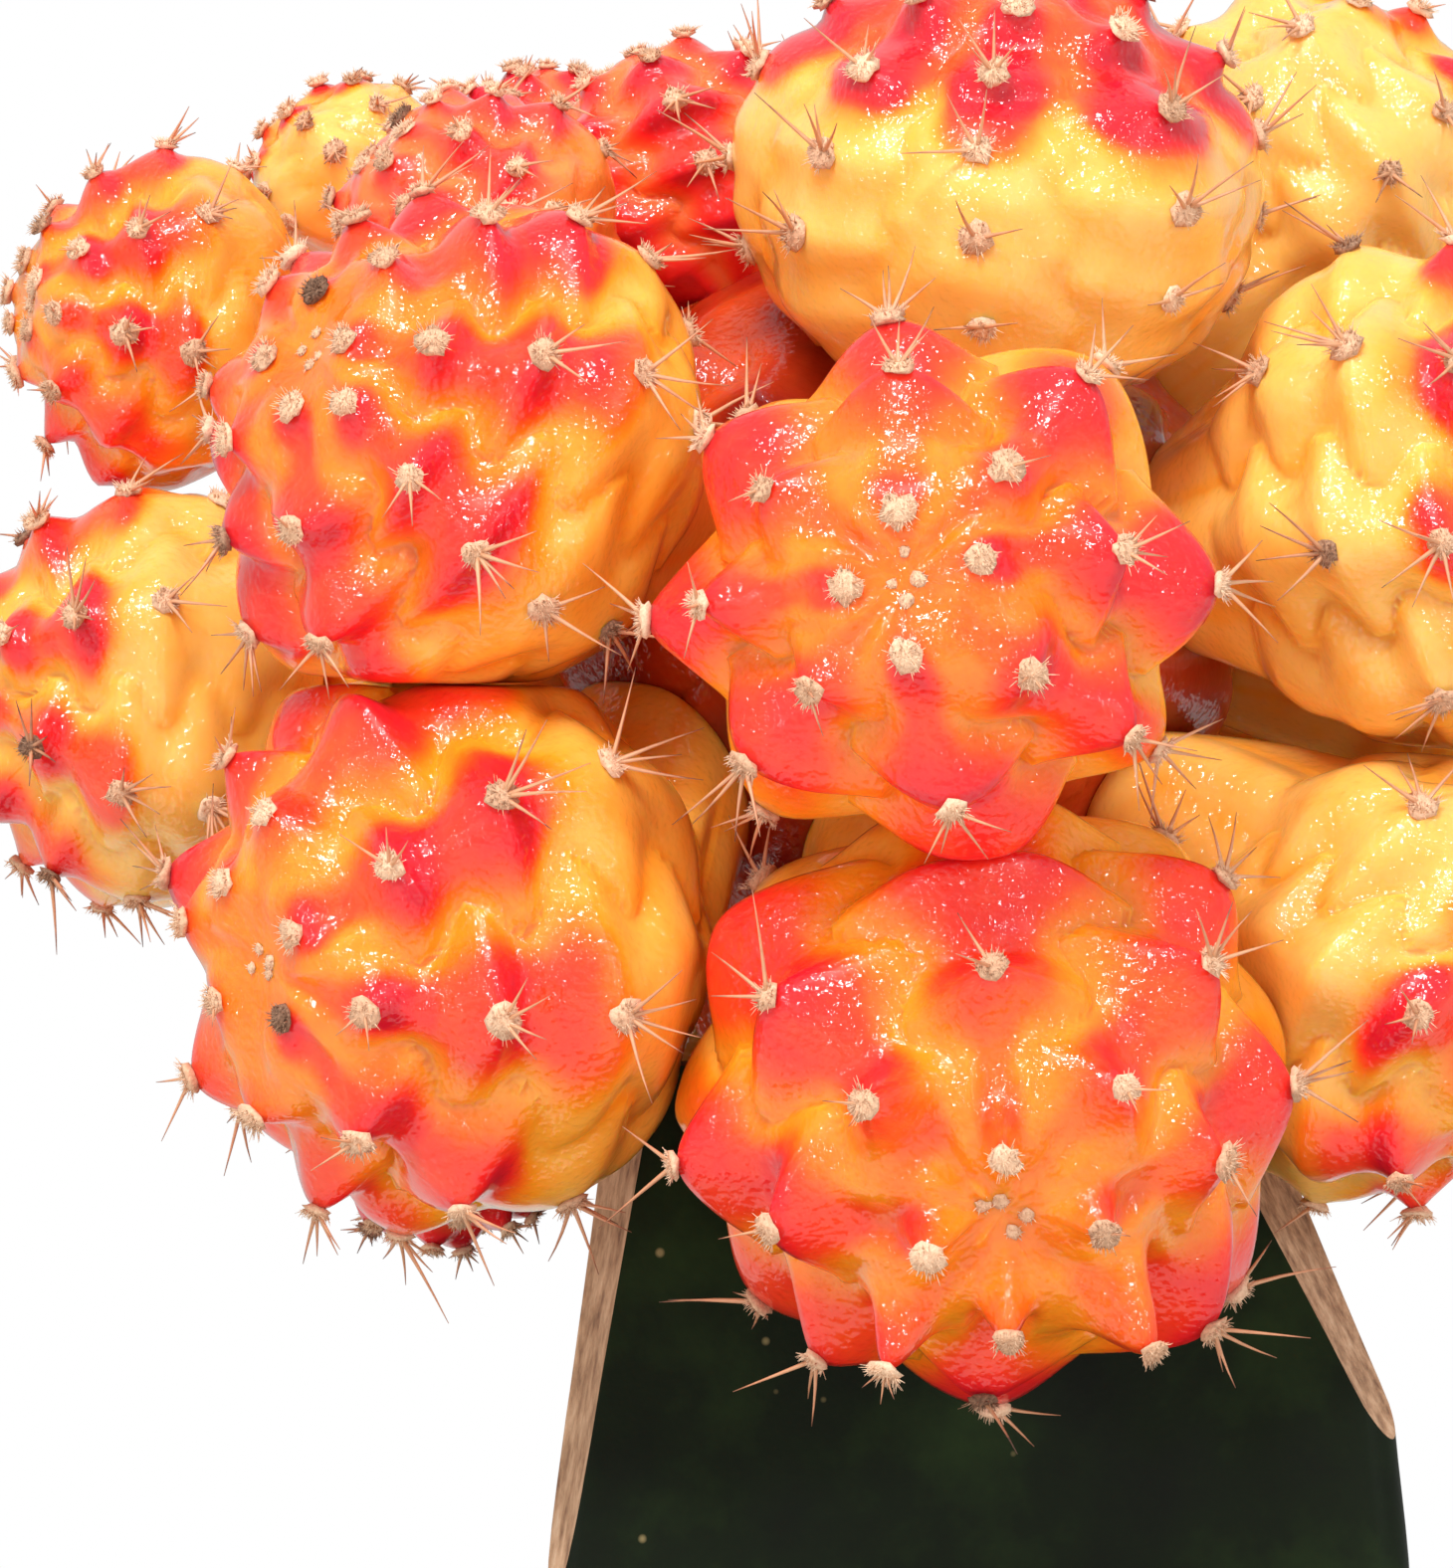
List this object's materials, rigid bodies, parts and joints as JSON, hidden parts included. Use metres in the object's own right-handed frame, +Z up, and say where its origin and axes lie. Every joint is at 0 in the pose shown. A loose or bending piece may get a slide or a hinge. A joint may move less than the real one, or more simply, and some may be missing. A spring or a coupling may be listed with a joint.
{
  "type": "potted moon cactus",
  "caption": "Crowded cluster of ribbed, spiny yellow and red grafted cactus heads on a three-sided dark green stem, standing in soil in a plain round clay pot.",
  "frame": {"origin": "middle of the pot's flat foot, on the surface that it stands on", "axes": "+Z up along the pot's axis, -Y towards the side that the picture shows, +X to the right in the picture"},
  "size_m": [0.0912, 0.0861, 0.1653],
  "materials": {
    "terracotta": "matte",
    "potting_mix": "matte",
    "green_stem": "satin",
    "flesh_deep_red": "satin",
    "flesh_orange_red": "satin",
    "flesh_yellow": "satin",
    "flesh_crimson": "satin"
  },
  "bodies": {
    "root": {"pot": "terracotta", "potting_soil": "potting_mix", "rootstock": "green_stem", "head_mother": "flesh_deep_red", "head_front": "flesh_orange_red", "head_top": "flesh_yellow", "head_upper_left": "flesh_orange_red", "head_lower_left": "flesh_orange_red", "head_lower_front": "flesh_orange_red", "head_right": "flesh_yellow", "head_lower_right": "flesh_yellow", "head_top_right": "flesh_yellow", "head_top_middle": "flesh_crimson", "head_top_left": "flesh_crimson", "head_left_back": "flesh_orange_red", "head_left_back_top": "flesh_crimson", "head_left_back_tip": "flesh_yellow", "head_far_upper_left": "flesh_orange_red", "head_left_middle": "flesh_yellow", "head_far_left": "flesh_yellow", "head_low_left_back": "flesh_orange_red", "head_low_left": "flesh_crimson", "head_back": "flesh_orange_red", "head_back_right": "flesh_yellow", "head_low_back_right": "flesh_orange_red", "head_top_back": "flesh_yellow", "head_far_right": "flesh_yellow", "head_low_back": "flesh_orange_red"}
  },
  "joints": []
}
